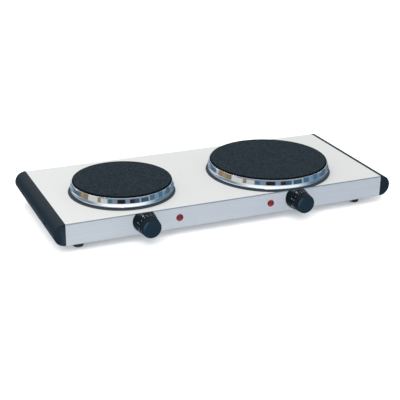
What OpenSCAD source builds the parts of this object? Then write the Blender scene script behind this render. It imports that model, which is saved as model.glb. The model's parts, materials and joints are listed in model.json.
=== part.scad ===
// Free-standing electric hot plate with two cast-iron burners.
// +X runs along the length, the controls face -Y, and Z is zero where the feet stand.

/* [Housing] */
// Length of the folded steel housing between the end caps
housing_w = 495; // [470:1:520]
// Depth of the housing from front panel to rear panel
housing_d = 218; // [212:1:240]
// Height of the front panel
housing_h = 31.5; // [31:0.5:36]
// Thickness of the sheet steel
sheet_t = 0.8; // [0.6:0.1:1]
// Outer radius of the folds along the top edges
fold_r = 1.6; // [1.2:0.1:2]
// Height of the feet under the base plate
foot_h = 16.2; // [14:0.2:20]

/* [End caps] */
// How far each end cap stands out past the steel
cap_depth = 16.7; // [16.2:0.1:19]
// Wall thickness of the end caps
cap_wall = 2.2; // [1.8:0.1:2.6]
// Distance between the two screws of one end cap
cap_screw_spacing = 125; // [100:1:140]

/* [Burners] */
// Diameter of the left cast-iron plate
left_plate_d = 145; // [135:1:150]
// Diameter of the right cast-iron plate
right_plate_d = 180; // [170:1:181]
// Height of the cooking faces above the deck
plate_rise = 18; // [17:0.1:20]
// Distance from the front panel to the burner centres
burner_inset = 92.5; // [92.5:0.5:104]
// Centre of the left burner along the length
left_x = -135.3; // [-145:0.1:-130]
// Centre of the right burner along the length
right_x = 101.8; // [95:0.1:115]
// Diameter of the shallow dish in the middle of each cooking face
dish_d = 44; // [30:1:56]

/* [Controls] */
// Distance from the deck down to the knob axes
knob_drop = 12.3; // [12:0.1:14]
// How far the knobs stand out of the front panel
knob_reach = 31; // [30:0.5:34]
// Radius of a knob at its rear skirt
knob_r = 15.5; // [14:0.1:16]
// Radius of a knob over its fluted front rim
knob_face_r = 13.9; // [13.5:0.1:14.2]
// Number of flutes round the rim of a knob
flutes = 28; // [16:1:32]
// Radius of the fixed collar behind each knob
collar_r = 17.2; // [16.5:0.1:18]
// Depth of the fixed collar
collar_depth = 9.5; // [8:0.1:10]
// Centre of the left lamp along the length
left_lamp_x = -82.5; // [-95:0.5:-75]
// Centre of the right lamp along the length
right_lamp_x = 60.5; // [50:0.5:70]
// Distance from the deck down to the lamp centres
lamp_drop = 15.9; // [12:0.1:18]
// Radius of the lamp lenses
lens_r = 5.2; // [4.8:0.1:6]

/* [Cord entry] */
// Radius of the bore in the cord gland
cord_bore_r = 3.6; // [3:0.1:4]
// How far the gland stands out of the rear panel
gland_reach = 10; // [8:0.5:14]
// Position of the gland along the length
gland_x = 170; // [165:1:175]

/* [Hidden] */
$fn = 96;

steel = [0.86, 0.87, 0.87];
zinc = [0.66, 0.68, 0.7];
black = [0.13, 0.14, 0.16];
iron = [0.17, 0.19, 0.21];
chrome = [0.8, 0.84, 0.88];
ceramic = [0.9, 0.87, 0.8];
brass = [0.78, 0.62, 0.3];
red = [0.75, 0.1, 0.08];

// Overlap that lets a cut run clear through a face
cut = 1;
// How far a wire stops short of the terminal it serves
wire_gap = 1.5;
plate_thick = 7;
arc_steps = 6;
cap_arc_steps = 40;

// The knobs and the gland reach past the housing, and the frame is centred on the whole depth
front_y = (knob_reach - gland_reach - housing_d) / 2;
rear_y = front_y + housing_d;
mid_y = (front_y + rear_y) / 2;
floor_z = foot_h + sheet_t;
deck_z = floor_z + housing_h;
mid_z = floor_z + housing_h / 2;
knob_z = deck_z - knob_drop;
lamp_z = deck_z - lamp_drop;
burner_y = front_y + burner_inset;
left_r = left_plate_d / 2;
right_r = right_plate_d / 2;

// Housing details
lip_w = 8;
opening_margin = 10;
bush_hole_r = 4.2;
lamp_hole_r = 4.3;
gland_hole_r = 6.1;
base_screw_hole_r = 1.5;
base_screw_inset = 5.5;
base_screw_x = [-200, 0, 200];
base_screw_y = [front_y + base_screw_inset, rear_y - base_screw_inset];

// Base plate details
base_gap = 1;
base_edge = 1.5;
end_flange_h = 24;
end_flange_inset = 10;
slot_w = 4;
slot_l = 46;
slot_pitch = 12;
slots_per_side = 3;
cap_screw_hole_r = 1.8;

// Feet
foot_top_r = 8.2;
foot_low_r = 7.3;
foot_edge_r = 2.4;
foot_inset_x = 25.3;
foot_inset_y = 31;
foot_seat_z = 8;
foot_recess_r = 3.6;
foot_hole_r = 2.1;
foot_edge_from = -75;
foot_screw_r = 1.9;
foot_screw_above = 6;
foot_nut_r = 3.8;
foot_nut_h = 3;

// End caps
cap_r = housing_h / 2;
cap_flat = cap_depth - cap_r;
tongue_l = 5;
tongue_t = 1.6;
tongue_gap = 0.3;
boss_r = 5.4;
cap_recess_r = 3.4;
cap_seat = 4.5;
cap_screw_pass_r = 1.9;
cap_screw_l = 14;

// Burner levels, counted up from the deck
seal_t = 1.6;
ring_t = 0.6;
ring_top = plate_rise - 2.4;
rim_wall = 7;
plate_under = plate_rise - plate_thick;
seal_edge = 1.2;
ring_inner = opening_margin - 1;
dish_depth = 0.9;
dish_slope = 4;
cement_gap = 0.4;
cover_level = 4.2;
cover_t = 0.8;
cement_level = cover_level + cover_t;
edge_r = 2.2;
step_in = 1.2;
boss_plate_r = 8;
stud_r = 3;
stud_hole_r = 3.1;
stud_top = 13;
stud_low = -17;
nut_h = 5;
nut_r = 5.8;
bridge_level = -9;
bridge_t = 1.5;
bridge_w = 20;
bridge_foot = 8;
coil_r = 1.8;
coil_level = 7.4;
groove_half = 2.2;
groove_top = 9.8;
coil_places = [0.3, 0.53, 0.755];
terminal_low = -5;
terminal_size = [28, 12];
terminal_offset = 36;
terminal_tab_x = 7;
tab_hole_r = 1.8;
tab_hole_depth = 5;

// Control details, counted forward from the front panel
bush_r = 4;
bush_bore_r = 3.05;
bush_front = 6;
bush_back = -2.8;
bush_flange_r = 7;
spindle_r = 3;
spindle_back = -12.3;
spindle_front = 26;
flat_from = collar_depth - 0.5;
flat_depth = 1;
collar_floor = 1.2;
collar_well_r = 8.4;
collar_slope = 1;
bush_nut_r = 6.9;
bush_nut_h = 2.6;
knob_gap = 0.4;
knob_back = collar_depth + knob_gap;
rim_from = knob_reach - 8.5;
hub_r = 6;
knob_web_r = 12.6;
knob_web_depth = 12;
flute_r = 0.8;
fit_gap = 0.05;
thermo_w = 34;
thermo_h = 15;
thermo_back = -26;
spindle_well_r = 3.4;
spindle_well_back = -13;
pin_r = 1.5;
pin_bore_r = 1.56;
pin_front = -12.8;
pin_back = -19;
pocket_front = -18;
pocket_back = -22;
pocket_h = 7;
blade_front = -20;
blade_t = 0.5;
blade_h = 6;
blade_inset = 2;

// Lamps
lens_dome = 3.2;
lens_flange = 0.8;
lens_stem_r = 4;
lens_stem_l = 8;
tube_r = 4.6;
tube_back = -24;
tube_wall = 1.2;
bulb_r = 2.3;
clip_r = 7;
clip_slit_l = 12;
clip_slit_w = 1;

// Cord gland
gland_back = -8;
gland_body_r = 5.9;
gland_flange_r = 8.5;
gland_flange_t = 2.5;
gland_tip_r = 5.3;
gland_nut_r = 9;

// Terminals that the wires run to
wire_r = 1.2;
wire_sides = 8;
way_pitch = 6;
mains_block_size = [36, 18, 15];
mains_block_y = rear_y - 44.5;
way_r = 2;
way_depth = 5;
thermo_tab_x = 7.5;
lamp_tab_x = 14.5;
earth_x = 215;
earth_y = rear_y - 31;
earth_stud_r = 2;
earth_stud_h = 11;
earth_nut_z = 5;
way_y = mains_block_y - wire_gap;
way_z = floor_z + 8;
tab_y = front_y - thermo_back + wire_gap;
lamp_tab_y = front_y - tube_back + wire_gap;
plate_tab_y = burner_y + terminal_offset;
plate_tab_z = deck_z + terminal_low - wire_gap;

// Wire routes: the ends follow the terminals, the points between lie over the base plate
live_left_route = [
    [gland_x - 2 * way_pitch, way_y, way_z], [158, 60, 21], [60, 38, 20], [-60, -20, 20], [-128, -48, 21],
    [left_x + thermo_tab_x, -62, 34], [left_x + thermo_tab_x, tab_y, knob_z]
];
live_right_route = [
    [gland_x - way_pitch, way_y, way_z], [164, 55, 21], [130, 0, 20], [112, -50, 21],
    [right_x + thermo_tab_x, -62, 34], [right_x + thermo_tab_x, tab_y, knob_z]
];
switched_left_route = [
    [left_x - thermo_tab_x, tab_y, knob_z], [left_x - thermo_tab_x, -62, 32], [-152, -35, 21], [-152, 14, 21],
    [left_x - terminal_tab_x, plate_tab_y - 1, 32], [left_x - terminal_tab_x, plate_tab_y, plate_tab_z]
];
switched_right_route = [
    [right_x - thermo_tab_x, tab_y, knob_z], [right_x - thermo_tab_x, -62, 32], [84, -30, 21], [88, 18, 21],
    [right_x - terminal_tab_x, plate_tab_y - 1, 32], [right_x - terminal_tab_x, plate_tab_y, plate_tab_z]
];
neutral_left_route = [
    [gland_x + way_pitch, way_y, way_z], [176, 64, 20], [100, 68, 20], [-40, 58, 20], [-128, 46, 21],
    [left_x + terminal_tab_x, plate_tab_y + 1, 32], [left_x + terminal_tab_x, plate_tab_y, plate_tab_z]
];
neutral_right_route = [
    [gland_x, way_y, way_z], [170, 60, 29], [130, 50, 29],
    [right_x + terminal_tab_x, plate_tab_y + 1, 34], [right_x + terminal_tab_x, plate_tab_y, plate_tab_z]
];
earth_route = [
    [gland_x + 2 * way_pitch, way_y, way_z], [186, 62, 21], [210, 66, 22],
    [earth_x, earth_y - 12.5, 24], [earth_x, earth_y - 5.5, 24]
];
left_lamp_route = [
    [left_lamp_x, lamp_tab_y, lamp_z], [left_lamp_x, -62, 28], [-105, -56, 26],
    [left_x + lamp_tab_x, -60, 34], [left_x + lamp_tab_x, tab_y, knob_z]
];
right_lamp_route = [
    [right_lamp_x, lamp_tab_y, lamp_z], [right_lamp_x, -62, 28], [75, -56, 26],
    [right_x - lamp_tab_x, -60, 34], [right_x - lamp_tab_x, tab_y, knob_z]
];

// Points along an arc from one angle to another
function arc(cx, cy, r, from, to, steps) = [
    for (i = [0:steps])
        let (a = from + (to - from) * i / steps)
            [cx + r * cos(a), cy + r * sin(a)]
];

// Outline of an end cap: straight beside the steel, half round outside
function cap_outline(inset) = concat(
    [[0, -(cap_r - inset)]],
    arc(cap_flat, 0, cap_r - inset, -90, 90, cap_arc_steps),
    [[0, cap_r - inset]]
);

// Section of the folded housing: a deck, two panels and a return lip under each
function housing_outline() = concat(
    [[lip_w, 0], [0, 0]],
    arc(fold_r, housing_h - fold_r, fold_r, 180, 90, arc_steps),
    arc(housing_d - fold_r, housing_h - fold_r, fold_r, 90, 0, arc_steps),
    [[housing_d, 0], [housing_d - lip_w, 0]],
    [[housing_d - lip_w, sheet_t], [housing_d - sheet_t, sheet_t]],
    arc(housing_d - fold_r, housing_h - fold_r, fold_r - sheet_t, 0, 90, arc_steps),
    arc(fold_r, housing_h - fold_r, fold_r - sheet_t, 90, 180, arc_steps),
    [[sheet_t, sheet_t], [lip_w, sheet_t]]
);

// Outer line of a spill ring, from its upper edge over the bead to its foot
function skirt_line(r) = [
    [r + 0.7, ring_top], [r + 1.3, ring_top - 1.8], [r + 2.5, ring_top - 7.7], [r + 3.1, ring_top - 8.4],
    [r + 2.4, ring_top - 12.2], [r + seal_edge, seal_t + ring_t], [r + seal_edge, seal_t]
];

// Smoothing of a route by cutting its corners
function soften(p) = concat(
    [p[0]],
    [for (i = [0:len(p) - 2]) each [p[i] * 0.75 + p[i + 1] * 0.25, p[i] * 0.25 + p[i + 1] * 0.75]],
    [p[len(p) - 1]]
);
function unit(v) = v / norm(v);
function heading(p, i) = unit(p[min(i + 1, len(p) - 1)] - p[max(i - 1, 0)]);
function carried(p, i, side) =
    let (t = heading(p, i))
        unit(side - (side * t) * t);
function sides_along(p, i, side) = i == len(p) ? [] :
    let (s = carried(p, i, side))
        concat([s], sides_along(p, i + 1, s));

module tube(route, r) {
    p = soften(soften(route));
    n = len(p);
    side = sides_along(p, 0, [0.13, 0.29, 0.95]);
    points = [
        for (i = [0:n - 1])
            for (k = [0:wire_sides - 1])
                let (a = 360 * k / wire_sides)
                    p[i] + r * (cos(a) * side[i] + sin(a) * cross(heading(p, i), side[i]))
    ];
    walls = [
        for (i = [0:n - 2])
            for (k = [0:wire_sides - 1])
                let (here = i * wire_sides, next = here + wire_sides, j = (k + 1) % wire_sides)
                    [here + k, next + k, next + j, here + j]
    ];
    start = [[for (k = [0:wire_sides - 1]) k]];
    finish = [[for (k = [0:wire_sides - 1]) n * wire_sides - 1 - k]];
    polyhedron(points, concat(walls, start, finish));
}

// Places its children on the front panel, with their Z axis pointing forward
module at_front(x, z) {
    translate([x, front_y, z]) rotate([90, 0, 0]) children();
}

// Places its children on the rear panel, with their Z axis pointing backward
module at_rear(x, z) {
    translate([x, rear_y, z]) rotate([-90, 0, 0]) children();
}

module at_burner(x) {
    translate([x, burner_y, deck_z]) children();
}

module hex_nut(r, h, hole) {
    difference() {
        cylinder(r = r, h = h, $fn = 6);
        translate([0, 0, -cut]) cylinder(r = hole, h = h + 2 * cut);
    }
}

// Cross-recessed screw with its head above zero and its shank below
module cross_screw(head_r, head_h, shank_r, shank_l) {
    recess_l = 1.3 * head_r;
    recess_w = 0.8;
    difference() {
        union() {
            cylinder(r = head_r, h = head_h);
            translate([0, 0, -shank_l]) cylinder(r = shank_r, h = shank_l + head_h / 2);
        }
        for (a = [0, 90])
            rotate([0, 0, a]) translate([-recess_l / 2, -recess_w / 2, head_h / 2])
                cube([recess_l, recess_w, head_h]);
    }
}

// Places its children at one corner of the foot pattern
module at_foot(side_x, side_y) {
    x = side_x * (housing_w / 2 - foot_inset_x);
    y = mid_y + side_y * (housing_d / 2 - foot_inset_y);
    translate([x, y, 0]) children();
}

module top_housing() {
    color(steel) difference() {
        translate([-housing_w / 2, front_y, floor_z]) rotate([90, 0, 90])
            linear_extrude(housing_w) polygon(housing_outline());
        at_burner(left_x) translate([0, 0, -4 * sheet_t])
            cylinder(r = left_r - opening_margin, h = 8 * sheet_t);
        at_burner(right_x) translate([0, 0, -4 * sheet_t])
            cylinder(r = right_r - opening_margin, h = 8 * sheet_t);
        for (x = [left_x, right_x])
            at_front(x, knob_z) translate([0, 0, -3 * sheet_t]) cylinder(r = bush_hole_r, h = 6 * sheet_t);
        for (x = [left_lamp_x, right_lamp_x])
            at_front(x, lamp_z) translate([0, 0, -3 * sheet_t]) cylinder(r = lamp_hole_r, h = 6 * sheet_t);
        at_rear(gland_x, mid_z) translate([0, 0, -3 * sheet_t]) cylinder(r = gland_hole_r, h = 6 * sheet_t);
        for (x = base_screw_x)
            for (y = base_screw_y)
                translate([x, y, floor_z - cut]) cylinder(r = base_screw_hole_r, h = sheet_t + 2 * cut);
    }
}

module base_plate() {
    half_w = housing_w / 2 - base_gap;
    flange_d = housing_d - 2 * end_flange_inset;
    color(zinc) difference() {
        union() {
            translate([-half_w, front_y + base_edge, foot_h])
                cube([2 * half_w, housing_d - 2 * base_edge, sheet_t]);
            for (x = [-half_w, half_w - sheet_t])
                translate([x, mid_y - flange_d / 2, foot_h])
                    cube([sheet_t, flange_d, sheet_t + end_flange_h]);
        }
        for (x = base_screw_x)
            for (y = base_screw_y)
                translate([x, y, foot_h - cut]) cylinder(r = base_screw_hole_r + 0.1, h = sheet_t + 2 * cut);
        for (sx = [-1, 1])
            for (sy = [-1, 1]) {
                at_foot(sx, sy) translate([0, 0, foot_h - cut])
                    cylinder(r = foot_hole_r, h = sheet_t + 2 * cut);
                translate([sx * half_w, mid_y + sy * cap_screw_spacing / 2, mid_z]) rotate([0, 90, 0])
                    cylinder(r = cap_screw_hole_r, h = 6 * sheet_t, center = true);
            }
        for (x = [left_x, right_x])
            for (i = [-slots_per_side:slots_per_side])
                translate([x - slot_l / 2, burner_y + i * slot_pitch - slot_w / 2, foot_h - cut])
                    cube([slot_l, slot_w, sheet_t + 2 * cut]);
    }
}

// The right-hand cap; the left one is its mirror image
module end_cap() {
    tongue_d = housing_d - 2 * (sheet_t + tongue_gap);
    tongue_top = housing_h / 2 - sheet_t - tongue_gap;
    tongue_low = 2 * cut - tongue_top;
    translate([housing_w / 2, mid_y, mid_z]) difference() {
        union() {
            rotate([90, 0, 0]) translate([0, 0, -housing_d / 2]) linear_extrude(housing_d) difference() {
                polygon(cap_outline(0));
                translate([-cut, 0]) polygon(cap_outline(cap_wall));
            }
            for (y = [-housing_d / 2, housing_d / 2 - cap_wall])
                translate([0, y + cap_wall, 0]) rotate([90, 0, 0])
                    linear_extrude(cap_wall) polygon(cap_outline(0));
            difference() {
                translate([-tongue_l, -tongue_d / 2, tongue_low])
                    cube([tongue_l + cap_wall, tongue_d, tongue_top - tongue_low]);
                translate([-tongue_l - cut, -tongue_d / 2 + tongue_t, -housing_h])
                    cube([tongue_l + cap_wall + 2 * cut, tongue_d - 2 * tongue_t,
                          housing_h + tongue_top - tongue_t]);
            }
            for (s = [-1, 1])
                translate([-base_gap, s * cap_screw_spacing / 2, 0]) rotate([0, 90, 0])
                    cylinder(r = boss_r, h = cap_depth - cap_wall);
        }
        for (s = [-1, 1])
            translate([0, s * cap_screw_spacing / 2, 0]) rotate([0, 90, 0]) {
                translate([0, 0, cap_seat]) cylinder(r = cap_recess_r, h = cap_depth);
                translate([0, 0, -base_gap - cut]) cylinder(r = cap_screw_pass_r, h = cap_depth);
            }
    }
}

module left_end_cap() {
    color(black) mirror([1, 0, 0]) end_cap();
}

module right_end_cap() {
    color(black) end_cap();
}

module end_cap_screws() {
    color(zinc) for (sx = [0, 1])
        mirror([sx, 0, 0])
            for (sy = [-1, 1])
                translate([housing_w / 2 + cap_seat, mid_y + sy * cap_screw_spacing / 2, mid_z])
                    rotate([0, 90, 0]) cross_screw(3.1, 2.2, 1.7, cap_screw_l);
}

module base_screws() {
    color(zinc) for (x = base_screw_x)
        for (y = base_screw_y)
            translate([x, y, foot_h]) rotate([180, 0, 0]) cross_screw(2.9, 1.7, 1.35, 4.2);
}

module foot() {
    outline = concat(
        [[foot_recess_r, 0], [foot_low_r - foot_edge_r, 0]],
        arc(foot_low_r - foot_edge_r, foot_edge_r, foot_edge_r, foot_edge_from, 0, arc_steps),
        [[foot_top_r, foot_h], [foot_hole_r, foot_h]],
        [[foot_hole_r, foot_seat_z], [foot_recess_r, foot_seat_z]]
    );
    color(black) rotate_extrude() polygon(outline);
}

module foot_screws() {
    color(zinc) for (sx = [-1, 1])
        for (sy = [-1, 1])
            at_foot(sx, sy) translate([0, 0, foot_seat_z]) rotate([180, 0, 0])
                cross_screw(3.2, 2.2, foot_screw_r, foot_h + foot_screw_above - foot_seat_z);
}

module foot_nuts() {
    color(zinc) for (sx = [-1, 1])
        for (sy = [-1, 1])
            at_foot(sx, sy) translate([0, 0, floor_z]) hex_nut(foot_nut_r, foot_nut_h, foot_screw_r + 0.1);
}

// Cast-iron plate with a rolled edge, a hollow underside and a boss for its stud
module hotplate(x, r) {
    dish_r = dish_d / 2;
    outline = concat(
        [[0, plate_rise - dish_depth], [dish_r - dish_slope, plate_rise - dish_depth], [dish_r, plate_rise]],
        arc(r - edge_r, plate_rise - edge_r, edge_r, 90, 0, arc_steps),
        [[r, ring_top - 0.6], [r - step_in, ring_top - 1.4], [r - step_in, seal_t + ring_t]],
        [[r - rim_wall, seal_t + ring_t], [r - rim_wall, plate_under], [boss_plate_r, plate_under]],
        [[boss_plate_r, cement_level], [stud_hole_r, cement_level]],
        [[stud_hole_r, stud_top + 1], [0, stud_top + 1]]
    );
    color(iron) at_burner(x) rotate_extrude() polygon(outline);
}

// Bright ring with a beaded skirt and a flange that the plate stands on
module spill_ring(x, r) {
    skirt = skirt_line(r);
    last = len(skirt) - 1;
    inner = [for (i = [0:last - 1]) [skirt[last - 1 - i][0] - ring_t, skirt[last - 1 - i][1]]];
    flange_r = r - ring_inner;
    outline = concat(skirt, [[flange_r, seal_t], [flange_r, seal_t + ring_t]], inner);
    color(chrome) at_burner(x) rotate_extrude() polygon(outline);
}

module seal(x, r) {
    color(black) at_burner(x) difference() {
        cylinder(r = r + seal_edge, h = seal_t);
        translate([0, 0, -cut]) cylinder(r = r - ring_inner, h = seal_t + 2 * cut);
    }
}

// Ceramic cement that fills the underside and carries the coil in open grooves
module insulation(x, r) {
    color(ceramic) at_burner(x) difference() {
        translate([0, 0, cement_level])
            cylinder(r = r - rim_wall - cement_gap, h = plate_under - cement_level);
        cylinder(r = boss_plate_r + cement_gap, h = plate_rise);
        for (place = coil_places)
            difference() {
                cylinder(r = place * r + groove_half, h = groove_top);
                translate([0, 0, -cut]) cylinder(r = place * r - groove_half, h = groove_top + 2 * cut);
            }
    }
}

module heating_coil(x, r) {
    color(zinc) at_burner(x)
        for (place = coil_places)
            rotate_extrude() translate([place * r, coil_level]) circle(r = coil_r);
}

module plate_cover(x, r) {
    color(zinc) at_burner(x) translate([0, 0, cover_level]) difference() {
        cylinder(r = r - rim_wall - cement_gap, h = cover_t);
        translate([0, 0, -cut]) cylinder(r = stud_r + 0.3, h = cover_t + 2 * cut);
    }
}

module stud(x) {
    color(zinc) at_burner(x) translate([0, 0, stud_low]) cylinder(r = stud_r, h = stud_top - stud_low);
}

// Strip that spans the opening under the deck and draws the burner down
module clamp_bridge(x, r) {
    reach = r - opening_margin + 2;
    under_deck = -sheet_t;
    color(zinc) at_burner(x) difference() {
        union() {
            translate([-reach - bridge_t, -bridge_w / 2, bridge_level])
                cube([2 * (reach + bridge_t), bridge_w, bridge_t]);
            for (s = [0, 1])
                mirror([s, 0, 0]) {
                    translate([reach, -bridge_w / 2, bridge_level])
                        cube([bridge_t, bridge_w, under_deck - bridge_level]);
                    translate([reach, -bridge_w / 2, under_deck - bridge_t])
                        cube([bridge_foot, bridge_w, bridge_t]);
                }
        }
        translate([0, 0, bridge_level - cut]) cylinder(r = stud_r + 0.3, h = bridge_t + 2 * cut);
    }
}

module clamp_nuts() {
    color(zinc) for (x = [left_x, right_x])
        at_burner(x) {
            translate([0, 0, cover_level - nut_h]) hex_nut(nut_r, nut_h, stud_r + 0.1);
            translate([0, 0, bridge_level - nut_h]) hex_nut(nut_r, nut_h, stud_r + 0.1);
        }
}

// Ceramic block under the plate that carries the two ends of the coil
module plate_terminal(x) {
    color(ceramic) at_burner(x) translate([0, terminal_offset, terminal_low]) difference() {
        translate([-terminal_size[0] / 2, -terminal_size[1] / 2, 0])
            cube([terminal_size[0], terminal_size[1], cover_level - terminal_low]);
        for (s = [-1, 1])
            translate([s * terminal_tab_x, 0, -cut]) cylinder(r = tab_hole_r, h = tab_hole_depth + cut);
    }
}

module d_shape(r, flat) {
    difference() {
        circle(r = r);
        translate([-r - cut, r - flat]) square([2 * (r + cut), r]);
    }
}

// Knob with a tapered skirt, a fluted rim, a hollow back and a D-shaped bore
module knob(x) {
    face_z = knob_reach;
    groove_r = knob_face_r - 0.5;
    color(black) at_front(x, knob_z) difference() {
        rotate_extrude() polygon([
            [0, knob_back], [knob_r - 0.4, knob_back], [knob_r, knob_back + 0.6],
            [knob_face_r + 0.7, rim_from - 0.6], [groove_r, rim_from], [knob_face_r, rim_from + 0.5],
            [knob_face_r, face_z - 0.7], [knob_face_r - 0.7, face_z], [0, face_z]
        ]);
        translate([0, 0, knob_back - cut]) difference() {
            cylinder(r = knob_web_r, h = knob_web_depth + cut);
            translate([0, 0, -cut]) cylinder(r = hub_r, h = knob_web_depth + 3 * cut);
        }
        translate([0, 0, knob_back - cut]) linear_extrude(spindle_front - knob_back + cut + 0.4)
            d_shape(spindle_r + fit_gap, flat_depth);
        for (i = [0:flutes - 1])
            rotate([0, 0, 360 * i / flutes]) translate([knob_face_r + 0.35, 0, rim_from + 0.6])
                cylinder(r = flute_r, h = face_z, $fn = 24);
    }
}

module spindle(x) {
    color(zinc) at_front(x, knob_z) {
        translate([0, 0, spindle_back]) cylinder(r = spindle_r, h = flat_from - spindle_back);
        translate([0, 0, flat_from])
            linear_extrude(spindle_front - flat_from) d_shape(spindle_r, flat_depth + fit_gap);
    }
}

// Fixed collar behind the knob, trimmed level with the deck and the panel's lower edge
module collar(x) {
    color(black) at_front(x, knob_z) difference() {
        intersection() {
            cylinder(r1 = collar_r, r2 = collar_r - collar_slope, h = collar_depth);
            translate([-housing_h, knob_drop - housing_h, -cut])
                cube([2 * housing_h, housing_h, collar_depth + 2 * cut]);
        }
        translate([0, 0, collar_floor]) cylinder(r = collar_well_r, h = collar_depth);
        translate([0, 0, -cut]) cylinder(r = bush_hole_r, h = collar_depth);
    }
}

module bush(x) {
    color(brass) at_front(x, knob_z) difference() {
        union() {
            translate([0, 0, bush_back]) cylinder(r = bush_flange_r, h = -sheet_t - bush_back);
            translate([0, 0, bush_back]) cylinder(r = bush_r, h = bush_front - bush_back);
        }
        translate([0, 0, bush_back - cut]) cylinder(r = bush_bore_r, h = bush_front - bush_back + 2 * cut);
    }
}

module bush_nuts() {
    color(brass) for (x = [left_x, right_x])
        at_front(x, knob_z) translate([0, 0, collar_floor]) hex_nut(bush_nut_r, bush_nut_h, bush_r + 0.1);
}

// Ceramic body of the thermostat, bored for the spindle and the pressure pin
module thermostat(x) {
    color(ceramic) at_front(x, knob_z) difference() {
        translate([-thermo_w / 2, -thermo_h / 2, thermo_back])
            cube([thermo_w, thermo_h, bush_back - thermo_back]);
        translate([0, 0, spindle_well_back]) cylinder(r = spindle_well_r, h = -spindle_well_back);
        translate([0, 0, pocket_back]) cylinder(r = pin_bore_r, h = -pocket_back);
        translate([-thermo_w, -pocket_h / 2, pocket_back])
            cube([2 * thermo_w, pocket_h, pocket_front - pocket_back]);
    }
}

module pressure_pin(x) {
    color(ceramic) at_front(x, knob_z)
        translate([0, 0, pin_back]) cylinder(r = pin_r, h = pin_front - pin_back);
}

module contact_blades() {
    blade_l = thermo_w - 2 * blade_inset;
    color(brass) for (x = [left_x, right_x])
        at_front(x, knob_z) translate([-blade_l / 2, -blade_h / 2, blade_front - blade_t])
            cube([blade_l, blade_h, blade_t]);
}

module lamp_lens(x) {
    dome_r = (lens_dome * lens_dome + lens_r * lens_r) / (2 * lens_dome);
    sweep = asin(lens_r / dome_r);
    dome = arc(0, lens_flange + lens_dome - dome_r, dome_r, 90 - sweep, 90, arc_steps);
    outline = concat(
        [[lens_stem_r - 1, -lens_stem_l], [lens_stem_r, -lens_stem_l], [lens_stem_r, 0], [lens_r, 0]],
        dome,
        [[0, 0], [lens_stem_r - 1, 0]]
    );
    color(red) at_front(x, lamp_z) rotate_extrude() polygon(outline);
}

module lamp_tube(x) {
    front = -lens_stem_l - 0.3;
    color(black) at_front(x, lamp_z) translate([0, 0, tube_back]) difference() {
        cylinder(r = tube_r, h = front - tube_back);
        translate([0, 0, tube_wall]) cylinder(r = tube_r - tube_wall, h = front - tube_back);
    }
}

module neon_bulbs() {
    bulb_l = 16;
    color(ceramic) for (x = [left_lamp_x, right_lamp_x])
        at_front(x, lamp_z) translate([0, 0, tube_back + tube_wall]) cylinder(r = bulb_r, h = bulb_l);
}

module lamp_clips() {
    clip_t = 0.8;
    color(zinc) for (x = [left_lamp_x, right_lamp_x])
        at_front(x, lamp_z) translate([0, 0, -sheet_t - clip_t]) difference() {
            cylinder(r = clip_r, h = clip_t);
            translate([0, 0, -cut]) cylinder(r = lens_stem_r + 0.1, h = clip_t + 2 * cut);
            for (a = [0, 60, 120])
                rotate([0, 0, a]) translate([-clip_slit_l / 2, -clip_slit_w / 2, -cut])
                    cube([clip_slit_l, clip_slit_w, clip_t + 2 * cut]);
        }
}

// Gland with a through bore for a round cord
module cord_gland() {
    outline = [
        [cord_bore_r, gland_back], [gland_body_r, gland_back], [gland_body_r, 0], [gland_flange_r, 0],
        [gland_flange_r, gland_flange_t - 0.6], [gland_flange_r - 0.6, gland_flange_t],
        [gland_body_r + 0.4, gland_flange_t], [gland_tip_r, gland_reach - 0.5],
        [gland_tip_r - 0.5, gland_reach], [cord_bore_r, gland_reach]
    ];
    color(black) at_rear(gland_x, mid_z) rotate_extrude() polygon(outline);
}

module gland_nut() {
    nut_t = 3.6;
    color(black) at_rear(gland_x, mid_z)
        translate([0, 0, -sheet_t - nut_t]) hex_nut(gland_nut_r, nut_t, gland_body_r + 0.1);
}

module mains_terminal() {
    size = mains_block_size;
    color(ceramic) translate([gland_x, mains_block_y, floor_z]) difference() {
        translate([-size[0] / 2, 0, 0]) cube(size);
        for (i = [-2:2])
            translate([i * way_pitch, size[1] / 2, size[2] - way_depth])
                cylinder(r = way_r, h = way_depth + cut);
    }
}

module earth_stud() {
    color(brass) translate([earth_x, earth_y, floor_z]) {
        cylinder(r = earth_stud_r, h = earth_stud_h);
        translate([0, 0, earth_nut_z]) hex_nut(2 * earth_stud_r, 3, earth_stud_r + 0.1);
    }
}

module live_wires() {
    color("brown") {
        tube(live_left_route, wire_r);
        tube(live_right_route, wire_r);
    }
}

module switched_wires() {
    color("darkred") {
        tube(switched_left_route, wire_r);
        tube(switched_right_route, wire_r);
    }
}

module neutral_wires() {
    color("steelblue") {
        tube(neutral_left_route, wire_r);
        tube(neutral_right_route, wire_r);
    }
}

module earth_wire() {
    color("yellowgreen") tube(earth_route, wire_r);
}

module lamp_wires() {
    color("white") {
        tube(left_lamp_route, wire_r * 0.8);
        tube(right_lamp_route, wire_r * 0.8);
    }
}

top_housing();
base_plate();
left_end_cap();
right_end_cap();
end_cap_screws();
base_screws();
at_foot(-1, -1) foot();  // front_left_foot
at_foot(1, -1) foot();  // front_right_foot
at_foot(-1, 1) foot();  // rear_left_foot
at_foot(1, 1) foot();  // rear_right_foot
foot_screws();
foot_nuts();
hotplate(left_x, left_r);  // left_hotplate
hotplate(right_x, right_r);  // right_hotplate
spill_ring(left_x, left_r);  // left_spill_ring
spill_ring(right_x, right_r);  // right_spill_ring
seal(left_x, left_r);  // left_seal
seal(right_x, right_r);  // right_seal
insulation(left_x, left_r);  // left_insulation
insulation(right_x, right_r);  // right_insulation
heating_coil(left_x, left_r);  // left_heating_coil
heating_coil(right_x, right_r);  // right_heating_coil
plate_cover(left_x, left_r);  // left_plate_cover
plate_cover(right_x, right_r);  // right_plate_cover
stud(left_x);  // left_stud
stud(right_x);  // right_stud
clamp_bridge(left_x, left_r);  // left_clamp_bridge
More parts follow.
